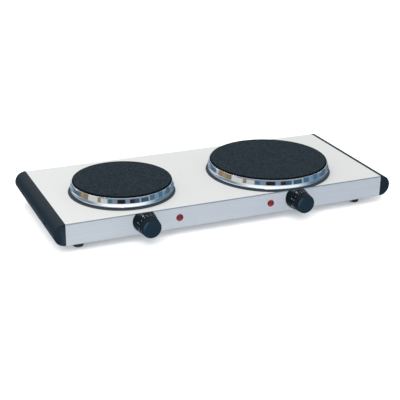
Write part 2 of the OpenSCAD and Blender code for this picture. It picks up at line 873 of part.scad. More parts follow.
clamp_bridge(right_x, right_r);  // right_clamp_bridge
clamp_nuts();
plate_terminal(left_x);  // left_plate_terminal
plate_terminal(right_x);  // right_plate_terminal
knob(left_x);  // left_knob
knob(right_x);  // right_knob
spindle(left_x);  // left_spindle
spindle(right_x);  // right_spindle
collar(left_x);  // left_collar
collar(right_x);  // right_collar
bush(left_x);  // left_bush
bush(right_x);  // right_bush
bush_nuts();
thermostat(left_x);  // left_thermostat
thermostat(right_x);  // right_thermostat
pressure_pin(left_x);  // left_pressure_pin
pressure_pin(right_x);  // right_pressure_pin
contact_blades();
lamp_lens(left_lamp_x);  // left_lamp_lens
lamp_lens(right_lamp_x);  // right_lamp_lens
lamp_tube(left_lamp_x);  // left_lamp_tube
lamp_tube(right_lamp_x);  // right_lamp_tube
neon_bulbs();
lamp_clips();
cord_gland();
gland_nut();
mains_terminal();
earth_stud();
live_wires();
switched_wires();
neutral_wires();
earth_wire();
lamp_wires();
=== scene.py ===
import json
import math

import bmesh
import bpy
from mathutils import Matrix, Vector

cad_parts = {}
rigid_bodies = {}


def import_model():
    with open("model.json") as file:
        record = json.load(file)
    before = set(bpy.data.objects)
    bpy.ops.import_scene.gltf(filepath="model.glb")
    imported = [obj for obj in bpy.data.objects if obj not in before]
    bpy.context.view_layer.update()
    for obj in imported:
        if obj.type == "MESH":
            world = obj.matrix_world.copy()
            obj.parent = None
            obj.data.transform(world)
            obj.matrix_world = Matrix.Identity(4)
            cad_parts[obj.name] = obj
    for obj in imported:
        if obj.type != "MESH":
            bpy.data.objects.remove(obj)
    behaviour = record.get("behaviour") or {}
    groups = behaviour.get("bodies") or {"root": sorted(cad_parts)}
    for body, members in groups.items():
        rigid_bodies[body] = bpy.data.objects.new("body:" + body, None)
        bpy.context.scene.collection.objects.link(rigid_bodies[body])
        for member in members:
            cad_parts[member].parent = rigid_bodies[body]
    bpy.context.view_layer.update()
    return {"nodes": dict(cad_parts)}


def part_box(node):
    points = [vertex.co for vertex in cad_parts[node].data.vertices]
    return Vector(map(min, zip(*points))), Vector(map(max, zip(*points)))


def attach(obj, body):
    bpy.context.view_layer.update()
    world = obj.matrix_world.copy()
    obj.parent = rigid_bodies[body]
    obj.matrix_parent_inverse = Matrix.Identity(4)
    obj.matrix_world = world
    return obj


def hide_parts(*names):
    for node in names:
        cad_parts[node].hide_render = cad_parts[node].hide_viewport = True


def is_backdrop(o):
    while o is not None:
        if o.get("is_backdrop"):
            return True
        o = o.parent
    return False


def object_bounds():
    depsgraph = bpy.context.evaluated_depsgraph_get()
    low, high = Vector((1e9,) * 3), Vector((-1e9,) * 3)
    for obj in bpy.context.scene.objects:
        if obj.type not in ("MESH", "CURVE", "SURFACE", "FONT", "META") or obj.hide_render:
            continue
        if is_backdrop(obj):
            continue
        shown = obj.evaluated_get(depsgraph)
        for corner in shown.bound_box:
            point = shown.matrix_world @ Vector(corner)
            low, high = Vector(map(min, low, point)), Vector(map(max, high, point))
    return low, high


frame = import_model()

MM = 0.001
SIDES = ("left", "right")


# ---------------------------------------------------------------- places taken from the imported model

def middle(node):
    low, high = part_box(node)
    return (low + high) / 2


housing_low, housing_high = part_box("top_housing")
front_y = housing_low.y
deck_z = housing_high.z
ring_r = {}
burner = {}
knob_at = {}
lamp_at = {}
for side in SIDES:
    low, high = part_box(side + "_hotplate")
    burner[side] = Vector(((low.x + high.x) / 2, (low.y + high.y) / 2, deck_z))
    ring_r[side] = (high.x - low.x) / 2 / MM
    spindle = middle(side + "_spindle")
    knob_at[side] = Vector((spindle.x, front_y, spindle.z))
    lens = middle(side + "_lamp_lens")
    lamp_at[side] = Vector((lens.x, front_y, lens.z))
plate_rise = (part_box("left_hotplate")[1].z - deck_z) / MM
plate_under = plate_rise - 7


# ---------------------------------------------------------------- mesh helpers

def upward(origin):
    """Millimetres about an upright axis at origin, to metres in the frame."""
    return lambda a, b, h: (origin.x + a * MM, origin.y + b * MM, origin.z + h * MM)


def forward(origin):
    """The same about an axis that points out of the front panel."""
    return lambda a, b, h: (origin.x + a * MM, origin.y - h * MM, origin.z + b * MM)


def rounded(corners, steps=5):
    """A 2-D outline whose corners (across, along, radius) are rounded by an arc."""
    line = []
    count = len(corners)
    for i, (x, y, radius) in enumerate(corners):
        here = Vector((x, y))
        if radius <= 0:
            line.append(tuple(here))
            continue
        to_last = (Vector(corners[i - 1][:2]) - here).normalized()
        to_next = (Vector(corners[(i + 1) % count][:2]) - here).normalized()
        half = math.acos(max(-1, min(1, to_last.dot(to_next)))) / 2
        centre = here + (to_last + to_next).normalized() * radius / math.sin(half)
        start = here + to_last * radius / math.tan(half) - centre
        end = here + to_next * radius / math.tan(half) - centre
        a0 = math.atan2(start.y, start.x)
        turn = math.atan2(start.x * end.y - start.y * end.x, start.dot(end))
        for k in range(steps + 1):
            a = a0 + turn * k / steps
            line.append((centre.x + radius * math.cos(a), centre.y + radius * math.sin(a)))
    return line


def mesh_piece(name, bm, body, material, replaces=(), sharp=32):
    """Turns a bmesh into a piece that rides on a body."""
    bmesh.ops.remove_doubles(bm, verts=bm.verts, dist=1e-7)
    bmesh.ops.recalc_face_normals(bm, faces=bm.faces)
    mesh = bpy.data.meshes.new(name)
    bm.to_mesh(mesh)
    bm.free()
    mesh.polygons.foreach_set("use_smooth", [True] * len(mesh.polygons))
    mesh.set_sharp_from_angle(angle=math.radians(sharp))
    piece = bpy.data.objects.new(name, mesh)
    bpy.context.scene.collection.objects.link(piece)
    mesh.materials.append(material)
    even = piece.modifiers.new("even shading", "WEIGHTED_NORMAL")
    even.mode = "FACE_AREA"
    even.weight = 60
    even.keep_sharp = True
    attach(piece, body)
    if replaces:
        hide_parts(*replaces)
    return piece


def sweep_round(bm, outline, place, segments=192, closed=True, shape=None):
    """Turns an outline (radius, height) about an axis; shape(radius, height, angle) may move each point."""
    rings = []
    for radius, height in outline:
        if radius < 1e-6:
            rings.append([bm.verts.new(place(0, 0, height))])
            continue
        ring = []
        for k in range(segments):
            a = 2 * math.pi * k / segments
            r, h = shape(radius, height, a) if shape else (radius, height)
            ring.append(bm.verts.new(place(r * math.cos(a), r * math.sin(a), h)))
        rings.append(ring)
    pairs = list(zip(rings, rings[1:]))
    if closed:
        pairs.append((rings[-1], rings[0]))
    for low, high in pairs:
        if len(low) == 1 and len(high) == 1:
            continue
        for k in range(segments):
            n = (k + 1) % segments
            if len(low) == 1:
                bm.faces.new((low[0], high[n], high[k]))
            elif len(high) == 1:
                bm.faces.new((low[k], low[n], high[0]))
            else:
                bm.faces.new((low[k], low[n], high[n], high[k]))


def softened(name, node, body, material, width, segments=2, sharp=32, corner=35):
    """A copy of a CAD node whose sharp edges are broken by a small rounded bevel, in millimetres."""
    bm = bmesh.new()
    bm.from_mesh(frame["nodes"][node].data)
    bmesh.ops.remove_doubles(bm, verts=bm.verts, dist=2e-6)
    bmesh.ops.dissolve_limit(
        bm, angle_limit=math.radians(0.4), verts=bm.verts, edges=bm.edges, use_dissolve_boundaries=False
    )
    edges = [
        e for e in bm.edges
        if len(e.link_faces) == 2 and e.calc_face_angle() > math.radians(corner)
    ]
    bmesh.ops.bevel(
        bm, geom=edges, offset=width * MM, segments=segments, profile=0.5,
        affect="EDGES", clamp_overlap=True, loop_slide=True,
    )
    return mesh_piece(name, bm, body, material, (node,), sharp)


# ---------------------------------------------------------------- materials

# How far past each plate the deck carries a dark painted contact shadow, and how far that ring lies off the
# plate's centre, in mm
SHADOW_RING_EDGE = 5.6
SHADOW_RING_SHIFT = (-1.3, -2.0)


class Nodes:
    """Builds one node material around a Principled shader."""

    def __init__(self, name, **values):
        self.material = bpy.data.materials.new(name)
        self.material.use_nodes = True
        self.tree = self.material.node_tree
        self.tree.nodes.clear()
        out = self.tree.nodes.new("ShaderNodeOutputMaterial")
        self.shader = self.tree.nodes.new("ShaderNodeBsdfPrincipled")
        self.link(self.shader.outputs[0], out.inputs["Surface"])
        for key, value in values.items():
            self.set(key.replace("_", " "), value)
        self.place = self.tree.nodes.new("ShaderNodeTexCoord").outputs["Object"]

    def set(self, socket, value):
        names = {s.name.lower(): s for s in self.shader.inputs}
        spot = names[socket.lower()]
        spot.default_value = (*value, 1) if isinstance(value, tuple) and len(value) == 3 else value

    def link(self, a, b):
        self.tree.links.new(a, b)

    def mapped(self, stretch=(1, 1, 1), shift=(0, 0, 0)):
        node = self.tree.nodes.new("ShaderNodeMapping")
        node.inputs["Scale"].default_value = stretch
        node.inputs["Location"].default_value = shift
        self.link(self.place, node.inputs["Vector"])
        return node.outputs[0]

    def noise(self, scale, detail=4, rough=0.6, stretch=None, shift=(0, 0, 0)):
        node = self.tree.nodes.new("ShaderNodeTexNoise")
        node.inputs["Scale"].default_value = scale
        node.inputs["Detail"].default_value = detail
        node.inputs["Roughness"].default_value = rough
        self.link(self.mapped(stretch or (1, 1, 1), shift), node.inputs["Vector"])
        return node.outputs["Fac"]

    def spread(self, value, low, high, from_low=0.3, from_high=0.7):
        node = self.tree.nodes.new("ShaderNodeMapRange")
        node.clamp = True
        for key, number in (
            ("From Min", from_low), ("From Max", from_high), ("To Min", low), ("To Max", high)
        ):
            node.inputs[key].default_value = number
        self.link(value, node.inputs["Value"])
        return node.outputs[0]

    def mix(self, factor, a, b, blend="MIX"):
        node = self.tree.nodes.new("ShaderNodeMix")
        node.data_type = "RGBA"
        node.blend_type = blend
        for spot, value in ((node.inputs["Factor"], factor), (node.inputs[6], a), (node.inputs[7], b)):
            if isinstance(value, bpy.types.NodeSocket):
                self.link(value, spot)
            elif isinstance(value, tuple):
                spot.default_value = (*value, 1)
            else:
                spot.default_value = value
        return node.outputs[2]

    def math(self, operation, a, b=0.0):
        node = self.tree.nodes.new("ShaderNodeMath")
        node.operation = operation
        for spot, value in zip(node.inputs, (a, b)):
            if isinstance(value, bpy.types.NodeSocket):
                self.link(value, spot)
            else:
                spot.default_value = value
        return node.outputs[0]

    def choose(self, factor, a, b):
        """A plain number between a and b."""
        node = self.tree.nodes.new("ShaderNodeMix")
        for spot, value in ((0, factor), (2, a), (3, b)):
            self.link(value, node.inputs[spot])
        return node.outputs[0]

    def radius_from(self, centre):
        """Distance in metres from an upright axis."""
        split = self.tree.nodes.new("ShaderNodeSeparateXYZ")
        self.link(self.mapped((1, 1, 1), (-centre.x, -centre.y, 0)), split.inputs[0])
        square = [self.math("MULTIPLY", split.outputs[i], split.outputs[i]) for i in (0, 1)]
        return self.math("SQRT", self.math("ADD", *square))

    def bump(self, height, depth_mm, strength=1.0, under=None):
        node = self.tree.nodes.new("ShaderNodeBump")
        node.inputs["Strength"].default_value = strength
        node.inputs["Distance"].default_value = depth_mm * MM
        self.link(height, node.inputs["Height"])
        if under is not None:
            self.link(under, node.inputs["Normal"])
        return node.outputs[0]

    def to(self, socket, value):
        names = {s.name.lower(): s for s in self.shader.inputs}
        self.link(value, names[socket.lower()])
        return self


def grained(name, light, dark, rough, grain, depth_mm, metallic=0.0, patch=60.0, stretch=None, **values):
    """Colour drift at two sizes, uneven gloss and a fine surface grain."""
    m = Nodes(name, metallic=metallic, **values)
    broad = m.noise(patch, 3)
    fine = m.noise(grain, 3, 0.7, stretch)
    drift = m.mix(m.spread(broad, 0.0, 1.0), dark, light)
    shade = m.mix(m.spread(fine, 0.0, 0.35), drift, dark)
    m.to("Base Color", shade)
    m.to("Roughness", m.spread(m.math("ADD", m.math("MULTIPLY", broad, 0.6), m.math("MULTIPLY", fine, 0.4)),
                               rough[0], rough[1]))
    m.to("Normal", m.bump(fine, depth_mm))
    return m.material


def steel_sheet():
    """Satin sheet: mottled deck, panels brushed lengthwise, painted shade along the folds, painted
    contact-shadow rings round the burners.
    """
    m = Nodes("satin steel sheet", specular_ior_level=0.04)
    split = m.tree.nodes.new("ShaderNodeSeparateXYZ")
    m.link(m.tree.nodes.new("ShaderNodeTexCoord").outputs["Normal"], split.inputs[0])
    up = split.outputs["Z"]
    deck = m.spread(up, 0.0, 1.0, 0.6, 0.9)
    # Painted shade: the bends between deck and panels are darkened by their direction
    fold_shade = m.math("MULTIPLY", m.spread(up, 0.0, 1.0, 0.08, 0.3), m.spread(up, 1.0, 0.0, 0.9, 0.99))
    mottle = m.noise(420, 4, 0.65)
    fine = m.noise(2600, 2, 0.6)
    brush = m.noise(900, 3, 0.6, stretch=(0.012, 1, 1))
    top = m.mix(m.spread(mottle, 0, 1), (0.745, 0.755, 0.75), (0.775, 0.785, 0.78))
    top = m.mix(m.spread(fine, 0, 0.25), top, (0.71, 0.72, 0.715))
    face = m.mix(m.spread(brush, 0, 1), (0.70, 0.73, 0.765), (0.77, 0.795, 0.825))
    base = m.mix(deck, face, top)
    base = m.mix(m.math("MULTIPLY", fold_shade, 0.9), base, (0.26, 0.31, 0.36))
    # Painted contact shadow: a dark ring on the deck round each plate, set off the plate's centre as a cast
    # shadow would be
    painted_shadow = 0.0
    for side in SIDES:
        out = m.radius_from(burner[side] + Vector((*SHADOW_RING_SHIFT, 0)) * MM)
        edge = ring_r[side] + SHADOW_RING_EDGE
        ring = m.spread(out, 1.0, 0.0, (edge - 0.5) * MM, (edge + 0.4) * MM)
        painted_shadow = m.math("MAXIMUM", painted_shadow, ring)
    painted_shadow = m.math("MULTIPLY", painted_shadow, deck)
    m.to("Base Color", m.mix(m.math("MULTIPLY", painted_shadow, 0.97), base, (0.012, 0.030, 0.046)))
    unshadowed = m.math("SUBTRACT", 1.0, painted_shadow)
    m.to("Metallic", m.math("MULTIPLY", unshadowed, m.spread(deck, 0.82, 0.5, 0, 1)))
    rough = m.choose(deck, m.spread(brush, 0.38, 0.46), m.spread(mottle, 0.34, 0.42))
    m.to("Roughness", rough)
    m.to("Normal", m.bump(mottle, 0.012, 0.6, m.bump(brush, 0.006, 0.5)))
    return m.material


def black_plastic(name, dark, light, rough, gloss, grain=2400, depth=0.03, flank_shade=1.0):
    """Spark-grained black moulding with faint dust and rubbed, paler edges.

    A flank shade below 1 paints shade on every face that doesn't look straight forward.
    """
    m = Nodes(name, specular_ior_level=gloss)
    dust = m.noise(35, 5, 0.65)
    grain_value = m.noise(grain, 2, 0.6)
    base = m.mix(m.spread(dust, 0, 0.8), dark, light)
    base = m.mix(m.spread(grain_value, 0, 0.3), base, tuple(1.5 * c for c in light))
    edge = m.tree.nodes.new("ShaderNodeNewGeometry").outputs["Pointiness"]
    rub = m.math("MULTIPLY", m.spread(edge, 0, 1, 0.53, 0.62), m.spread(dust, 0.2, 0.8))
    base = m.mix(rub, base, tuple(3.0 * c for c in light))
    # Painted shade: faces that don't look straight forward are darkened
    if flank_shade < 1:
        split = m.tree.nodes.new("ShaderNodeSeparateXYZ")
        m.link(m.tree.nodes.new("ShaderNodeNewGeometry").outputs["Normal"], split.inputs[0])
        face = m.spread(split.outputs["Y"], 1.0, 0.0, -0.95, -0.75)
        base = m.mix(face, m.mix(flank_shade, (0.001, 0.001, 0.001), base), base)
    m.to("Base Color", base)
    m.to("Roughness", m.spread(dust, rough[0], rough[1]))
    m.to("Normal", m.bump(grain_value, depth, 0.7))
    return m.material


def cast_iron(name, centre):
    """Fine cast grain with faint turning rings, and painted shade that turns the plate's upright sides
    black.
    """
    m = Nodes(name, metallic=0.0, specular_ior_level=0.018)
    turning = m.math("SINE", m.math("MULTIPLY", m.radius_from(centre), 2 * math.pi / 0.0011))
    grain = m.noise(1500, 4, 0.72)
    coarse = m.noise(430, 3, 0.6)
    broad = m.noise(90, 4, 0.6)
    base = m.mix(m.spread(coarse, 0, 1, 0.42, 0.58), (0.001, 0.008, 0.013), (0.027, 0.043, 0.054))
    base = m.mix(m.spread(grain, 0, 0.5), base, (0.016, 0.028, 0.036))
    base = m.mix(m.spread(broad, 0, 0.4), base, (0.022, 0.030, 0.037))
    base = m.mix(m.math("MULTIPLY", m.spread(turning, 0, 0.16, -1, 1), m.spread(coarse, 0.3, 1)),
                 base, (0.040, 0.056, 0.068))
    # Painted shade: faces that neither look up nor down are darkened to near black
    split = m.tree.nodes.new("ShaderNodeSeparateXYZ")
    m.link(m.tree.nodes.new("ShaderNodeTexCoord").outputs["Normal"], split.inputs[0])
    up = split.outputs["Z"]
    rim = m.math("MULTIPLY", m.spread(up, 1, 0, 0.90, 0.97), m.spread(up, 0, 1, -0.3, -0.1))
    base = m.mix(rim, base, (0.003, 0.005, 0.007))
    m.to("Base Color", base)
    m.to("Roughness", m.spread(m.math("ADD", m.math("MULTIPLY", broad, 0.5), m.math("MULTIPLY", grain, 0.5)),
                               0.5, 0.68))
    fine = m.bump(grain, 0.10, 0.7)
    rings = m.bump(m.spread(turning, 0, 1, -1, 1), 0.012, 0.5, fine)
    m.to("Normal", m.bump(coarse, 0.10, 0.6, rings))
    return m.material


def bright_chrome():
    """Polished plate with slow ripples, fine wipe marks and slight heat tint."""
    m = Nodes("bright chrome", metallic=1.0)
    ripple = m.noise(55, 2, 0.5)
    wipe = m.noise(700, 3, 0.6, stretch=(1, 1, 0.06))
    tint = m.noise(14, 3, 0.5)
    base = m.mix(m.spread(tint, 0, 0.6), (0.95, 0.96, 0.97), (0.90, 0.925, 0.95))
    m.to("Base Color", m.mix(m.spread(wipe, 0, 0.2), base, (0.82, 0.85, 0.88)))
    m.to("Roughness", m.spread(wipe, 0.04, 0.11))
    m.to("Normal", m.bump(ripple, 0.05, 0.5, m.bump(wipe, 0.002, 0.4)))
    return m.material


def red_lens():
    m = Nodes("red lens", specular_ior_level=0.35, transmission_weight=0.2,
              coat_weight=0.15, coat_roughness=0.08)
    swirl = m.noise(260, 3, 0.6)
    speck = m.noise(1800, 2, 0.6)
    m.to("Base Color", m.mix(m.spread(swirl, 0, 1), (0.10, 0.002, 0.003), (0.30, 0.005, 0.007)))
    m.to("Roughness", m.spread(speck, 0.12, 0.24))
    m.to("Normal", m.bump(swirl, 0.02, 0.4))
    return m.material


def printed(name, light, dark):
    """Pad-printed paint, worn thin in small spots."""
    m = Nodes(name, specular_ior_level=0.4)
    worn = m.noise(1500, 4, 0.7)
    m.to("Base Color", m.mix(m.spread(worn, 0, 1, 0.2, 0.5), dark, light))
    m.to("Roughness", m.spread(worn, 0.4, 0.6))
    m.to("Normal", m.bump(worn, 0.01, 0.5))
    return m.material


def rubber(name="foot rubber"):
    m = Nodes(name, specular_ior_level=0.35)
    bloom = m.noise(120, 4, 0.6)
    grain = m.noise(1900, 2, 0.6)
    m.to("Base Color", m.mix(m.spread(bloom, 0, 1), (0.009, 0.014, 0.019), (0.018, 0.026, 0.033)))
    m.to("Roughness", m.spread(bloom, 0.5, 0.72))
    m.to("Normal", m.bump(grain, 0.04, 0.6))
    return m.material


steel = steel_sheet()
plastic = black_plastic("cap plastic", (0.005, 0.012, 0.019), (0.009, 0.018, 0.028), (0.32, 0.46), 0.075)
knob_plastic = black_plastic("knob plastic", (0.006, 0.016, 0.026), (0.010, 0.023, 0.036), (0.22, 0.34),
                             0.04, grain=3000, depth=0.012, flank_shade=0.3)
gland_plastic = black_plastic("gland plastic", (0.010, 0.015, 0.020), (0.016, 0.024, 0.031), (0.4, 0.55),
                              0.12)
foot_rubber = rubber()
seal_rubber = rubber("seal rubber")
chrome = bright_chrome()
lens_red = red_lens()
white_print = printed("white print", (0.50, 0.53, 0.56), (0.22, 0.25, 0.28))
blue_print = printed("blue print", (0.015, 0.11, 0.24), (0.008, 0.05, 0.11))
zinc = grained("zinc plate", (0.66, 0.69, 0.72), (0.50, 0.53, 0.56), (0.25, 0.45), 900, 0.01, 0.95, 120)
screw_steel = grained("screw steel", (0.62, 0.64, 0.66), (0.42, 0.44, 0.46), (0.24, 0.42),
                      1500, 0.01, 0.95, 300)
brass = grained("brass", (0.72, 0.53, 0.24), (0.50, 0.35, 0.14), (0.22, 0.40), 1300, 0.008, 0.95, 260)
coil = grained("coil sheath", (0.26, 0.25, 0.24), (0.12, 0.11, 0.11), (0.45, 0.65), 1500, 0.02, 0.7, 260)
ceramic = grained("ceramic", (0.84, 0.80, 0.72), (0.70, 0.66, 0.58), (0.45, 0.65), 700, 0.04, 0.0, 90)
lamp_plastic = grained("lamp plastic", (0.05, 0.05, 0.055), (0.02, 0.02, 0.024), (0.4, 0.6), 1800, 0.02)
bulb_glass = grained("bulb glass", (0.80, 0.78, 0.76), (0.66, 0.62, 0.60), (0.08, 0.2), 900, 0.004, 0.0, 200)
WIRES = {
    "live_wires": ((0.23, 0.09, 0.04), (0.13, 0.05, 0.02)),
    "switched_wires": ((0.50, 0.03, 0.03), (0.30, 0.015, 0.015)),
    "neutral_wires": ((0.05, 0.18, 0.50), (0.03, 0.10, 0.30)),
    "earth_wire": ((0.28, 0.50, 0.06), (0.50, 0.48, 0.05)),
    "lamp_wires": ((0.80, 0.79, 0.76), (0.60, 0.59, 0.56)),
}
iron = {side: cast_iron(side + " cast iron", burner[side]) for side in SIDES}


# ---------------------------------------------------------------- materials of the CAD nodes that stay

def dress(material, *names):
    for name in names:
        data = frame["nodes"][name].data
        data.materials.clear()
        data.materials.append(material)


dress(zinc, "base_plate", "left_plate_cover", "right_plate_cover", "left_clamp_bridge",
      "right_clamp_bridge", "left_stud", "right_stud", "foot_nuts", "clamp_nuts", "lamp_clips")
dress(screw_steel, "foot_screws", "left_spindle", "right_spindle")
dress(brass, "left_bush", "right_bush", "bush_nuts", "contact_blades", "earth_stud")
dress(ceramic, "left_insulation", "right_insulation", "left_plate_terminal", "right_plate_terminal",
      "left_thermostat", "right_thermostat", "left_pressure_pin", "right_pressure_pin", "mains_terminal")
dress(coil, "left_heating_coil", "right_heating_coil")
dress(lamp_plastic, "left_lamp_tube", "right_lamp_tube")
dress(bulb_glass, "neon_bulbs")
dress(gland_plastic, "gland_nut")
for wire, (light, dark) in WIRES.items():
    dress(grained(wire.replace("_", " "), light, dark, (0.35, 0.55), 900, 0.01), wire)


# ---------------------------------------------------------------- housing, caps, screws, gland

softened("housing_shell", "top_housing", "base", steel, 0.22)
for side in SIDES:
    softened(side + "_cap", side + "_end_cap", "base", plastic, 0.55, 3)
softened("cap_screws", "end_cap_screws", "base", screw_steel, 0.15)
softened("plate_screws", "base_screws", "base", screw_steel, 0.12)
softened("rear_gland", "cord_gland", "base", gland_plastic, 0.25, 3)


# ---------------------------------------------------------------- burners

# The shallow dish in the middle of each plate: (radius, drop)
DISH = ((0, 0.9), (6, 0.9), (12, 0.88), (16, 0.8))

for side in SIDES:
    radius = ring_r[side]
    at = upward(burner[side])
    box_low, box_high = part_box(side + "_spill_ring")
    ring_foot = (box_low.z - deck_z) / MM
    ring_top = (box_high.z - deck_z) / MM

    bm = bmesh.new()
    outline = rounded([
        (22, plate_rise, 5), (radius, plate_rise, 2.4), (radius, ring_top - 0.5, 0.3),
        (radius - 1.2, ring_top - 1.4, 0.3), (radius - 1.2, ring_foot + 0.65, 0.2),
        (radius - 7, ring_foot + 0.65, 0.4), (radius - 7, plate_under, 1.5),
        (8, plate_under, 1.0), (8, 5, 0.3), (3.1, 5, 0.2), (3.1, 14, 0.2), (0, 14, 0),
    ], 8)
    dish = [(across, plate_rise - drop) for across, drop in DISH]
    sweep_round(bm, dish + outline, at, 224, False)
    mesh_piece(side + "_iron_plate", bm, "base", iron[side], (side + "_hotplate",), 40)

    bm = bmesh.new()
    foot, top = ring_foot, ring_top
    skirt = [
        (radius + 0.15, top, 0.15), (radius + 0.7, top, 0.15), (radius + 1.3, top - 1.8, 2),
        (radius + 2.5, top - 7.7, 0.5), (radius + 3.1, top - 8.4, 0.5),
        (radius + 2.4, top - 12.2, 1.2), (radius + 1.2, foot, 0.3), (radius - 9, foot, 0.15),
        (radius - 9, foot + 0.6, 0.15), (radius + 0.5, foot + 0.6, 0.3), (radius + 1.8, top - 12.0, 0.8),
        (radius + 2.4, top - 8.7, 0.5), (radius + 1.9, top - 7.9, 0.4),
        (radius + 0.7, top - 1.9, 2),
    ]
    sweep_round(bm, rounded(skirt, 5), at, 256)
    mesh_piece(side + "_bright_ring", bm, "base", chrome, (side + "_spill_ring",), 50)

    bm = bmesh.new()
    thick = foot - 0.02
    gasket = [(radius + 0.6, 0.02, 0.25), (radius + 0.6, thick, 0.25),
              (radius - 9, thick, 0.1), (radius - 9, 0.02, 0.1)]
    sweep_round(bm, rounded(gasket, 4), at, 192)
    mesh_piece(side + "_gasket", bm, "base", seal_rubber, (side + "_seal",))


# ---------------------------------------------------------------- feet

for place in ("front_left", "front_right", "rear_left", "rear_right"):
    node = place + "_foot"
    low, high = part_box(node)
    at = upward(Vector(((low.x + high.x) / 2, (low.y + high.y) / 2, 0)))
    height = high.z / MM
    bm = bmesh.new()
    outline = rounded([
        (3.6, 0, 0.3), (5.2, 0, 0), (7.3, 0.35, 1.9), (7.75, 8.2, 0), (7.45, 8.6, 0.2), (7.8, 9.0, 0),
        (8.2, height, 0.3), (2.1, height, 0), (2.1, 8, 0), (3.6, 8, 0),
    ], 6)
    sweep_round(bm, outline, at, 96)
    mesh_piece(place + "_rubber_foot", bm, "base", foot_rubber, (node,), 40)


# ---------------------------------------------------------------- knobs, collars and their marks

# The knob's fluted skirt narrows from back to front: radius and depth at each end
SKIRT_BACK_R, SKIRT_FRONT_R = 15.5, 14.6
SKIRT_BACK, SKIRT_FRONT = 10.5, 21.9


def skirt_radius(depth):
    share = (depth - SKIRT_BACK) / (SKIRT_FRONT - SKIRT_BACK)
    return SKIRT_BACK_R + (SKIRT_FRONT_R - SKIRT_BACK_R) * share


def glyph(text, size):
    """A solid numeral as (vertices, faces) about its own middle."""
    curve = bpy.data.curves.new("glyph", "FONT")
    curve.body = text
    curve.size = size
    curve.extrude = 0.5
    curve.offset = 0.012 * size
    curve.resolution_u = 6
    curve.align_x = "CENTER"
    curve.align_y = "CENTER"
    holder = bpy.data.objects.new("glyph", curve)
    bpy.context.scene.collection.objects.link(holder)
    bpy.context.view_layer.update()
    mesh = bpy.data.meshes.new_from_object(holder.evaluated_get(bpy.context.evaluated_depsgraph_get()))
    points = [tuple(v.co) for v in mesh.vertices]
    faces = [tuple(p.vertices) for p in mesh.polygons]
    bpy.data.objects.remove(holder)
    bpy.data.curves.remove(curve)
    bpy.data.meshes.remove(mesh)
    low = [min(p[i] for p in points) for i in (0, 1)]
    high = [max(p[i] for p in points) for i in (0, 1)]
    return [(p[0] - (low[0] + high[0]) / 2, p[1] - (low[1] + high[1]) / 2, p[2]) for p in points], faces


def wrap(bm, shape, angle, depth, at, proud=0.06, sunk=-0.12):
    """Lays a flat solid on the knob's skirt. Angle 0 is the top and grows towards +X."""
    points, faces = shape
    made = []
    for x, y, z in points:
        d = depth - y
        base = skirt_radius(d)
        a = math.radians(90) - (math.radians(angle) + x / base)
        r = base + (proud if z > 0 else sunk)
        made.append(bm.verts.new(at(r * math.cos(a), r * math.sin(a), d)))
    for face in faces:
        try:
            bm.faces.new([made[i] for i in face])
        except ValueError:
            pass


def disc(radius, count=14):
    """A solid dot as (vertices, faces)."""
    turns = [2 * math.pi * k / count for k in range(count)]
    rim = [(radius * math.cos(a), radius * math.sin(a)) for a in turns]
    points = [(x, y, 0.5) for x, y in rim] + [(x, y, -0.5) for x, y in rim]
    faces = [tuple(range(count)), tuple(reversed(range(count, 2 * count)))]
    faces += [(k, k + count, (k + 1) % count + count, (k + 1) % count) for k in range(count)]
    return points, faces


LAST_STEP = 6
NUMERALS = {k: glyph(str(k), 4.6) for k in range(LAST_STEP + 1)}
DOT = disc(0.5)
# Angles in degrees round the knob, and depths in millimetres from the panel
ZERO_ANGLE = -27
STEP_ANGLE = 45
NUMERAL_DEPTH = 14.0
DOT_DEPTH = 19.6
OFF_DOTS = ((-10, 16.6), (-8, 19.8), (12, 17.2))

for side in SIDES:
    at = forward(knob_at[side])
    body = side + "_dial"
    softened(side + "_dial_knob", side + "_knob", body, knob_plastic, 0.22, 2, 30, 30)

    bm = bmesh.new()
    for step, shape in NUMERALS.items():
        wrap(bm, shape, ZERO_ANGLE - STEP_ANGLE * step, NUMERAL_DEPTH, at)
        wrap(bm, DOT, ZERO_ANGLE - STEP_ANGLE * step, DOT_DEPTH, at)
        if step < LAST_STEP:
            wrap(bm, DOT, ZERO_ANGLE - STEP_ANGLE * (step + 0.5), DOT_DEPTH, at)
    for angle, depth in OFF_DOTS:
        wrap(bm, DOT, angle, depth, at)
    mesh_piece(side + "_dial_marks", bm, body, white_print)

    softened(side + "_collar_ring", side + "_collar", "base", knob_plastic, 0.5, 3)
    top_z = (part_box(side + "_collar")[1].z - knob_at[side].z) / MM
    bm = bmesh.new()
    mark = bmesh.ops.create_cube(bm, size=1)["verts"]
    for v in mark:
        v.co = Vector(at(-6.6 + v.co.x * 2.6, top_z + 0.9 + v.co.y * 2.4, 7.4 + v.co.z * 3.4))
    bmesh.ops.bevel(bm, geom=list(bm.edges), offset=0.5 * MM, segments=3, affect="EDGES")
    mesh_piece(side + "_index_mark", bm, "base", blue_print)


# ---------------------------------------------------------------- lamps

FACETS = 10
FACET_FOOT = 1.5
FACET_DIP = 0.32
LENS_STEM = [(0, 0.3), (3.0, 0.3), (3.0, 0), (3.0, -8), (4.0, -8), (4.0, 0)]
LENS_RIM = rounded([(5.2, 0, 0), (5.2, 0.8, 0.15), (4.55, 1.15, 0.1), (4.35, 1.3, 0)], 3)
LENS_DOME = [(4.2, 1.55), (3.5, 2.45), (2.45, 3.2), (1.2, 3.75), (0, 4.0)]


def cut_facets(r, h, a):
    """Dips the lens between the ridges of its facets."""
    if h < FACET_FOOT or r < 0.1:
        return r, h
    share = (a * FACETS / (2 * math.pi)) % 1.0
    ridge = abs(share - 0.5) * 2
    return r, h - FACET_DIP * (1 - ridge) * min(1, r / 3.0)


for side in SIDES:
    at = forward(lamp_at[side])
    bm = bmesh.new()
    sweep_round(bm, LENS_STEM + LENS_RIM + LENS_DOME, at, FACETS * 12, False, cut_facets)
    mesh_piece(side + "_red_lens", bm, "base", lens_red, (side + "_lamp_lens",), 18)


# ---------------------------------------------------------------- floor, light and camera

